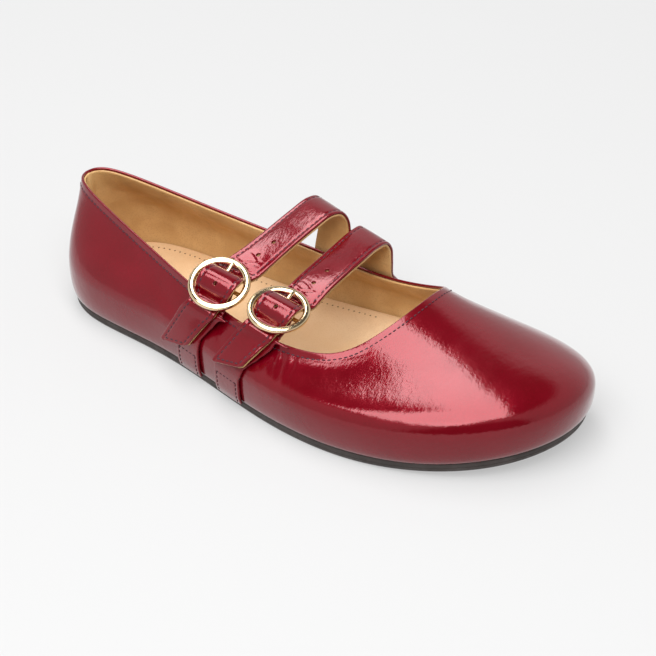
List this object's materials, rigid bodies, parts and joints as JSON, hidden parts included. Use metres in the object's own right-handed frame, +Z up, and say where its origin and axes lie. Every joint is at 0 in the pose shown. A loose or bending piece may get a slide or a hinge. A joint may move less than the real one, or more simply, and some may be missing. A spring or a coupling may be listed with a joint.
{
  "type": "mary jane shoe",
  "caption": "Round-toed flat shoe with a low open collar, thin rubber sole and buckled straps over the instep.",
  "frame": {"origin": "middle of the footprint, on the floor", "axes": "+X from heel to toe, +Y to the inner (medial) side of the foot, +Z up"},
  "size_m": [0.2517, 0.1031, 0.0616],
  "materials": {
    "patent_leather": "dark red patent, high gloss",
    "lining_leather": "tan, smooth, low sheen",
    "sole_rubber": "dark brown, matt",
    "gold_metal": "pale gold, polished"
  },
  "bodies": {
    "root": {"outsole": "sole_rubber", "insole": "lining_leather", "upper": "patent_leather", "back_strip": "patent_leather", "strap_rear": "patent_leather", "strap_front": "patent_leather", "buckle_tab_rear": "patent_leather", "buckle_tab_front": "patent_leather", "buckle_rear": "gold_metal", "buckle_front": "gold_metal", "prong_rear": "gold_metal", "prong_front": "gold_metal"}
  },
  "joints": []
}
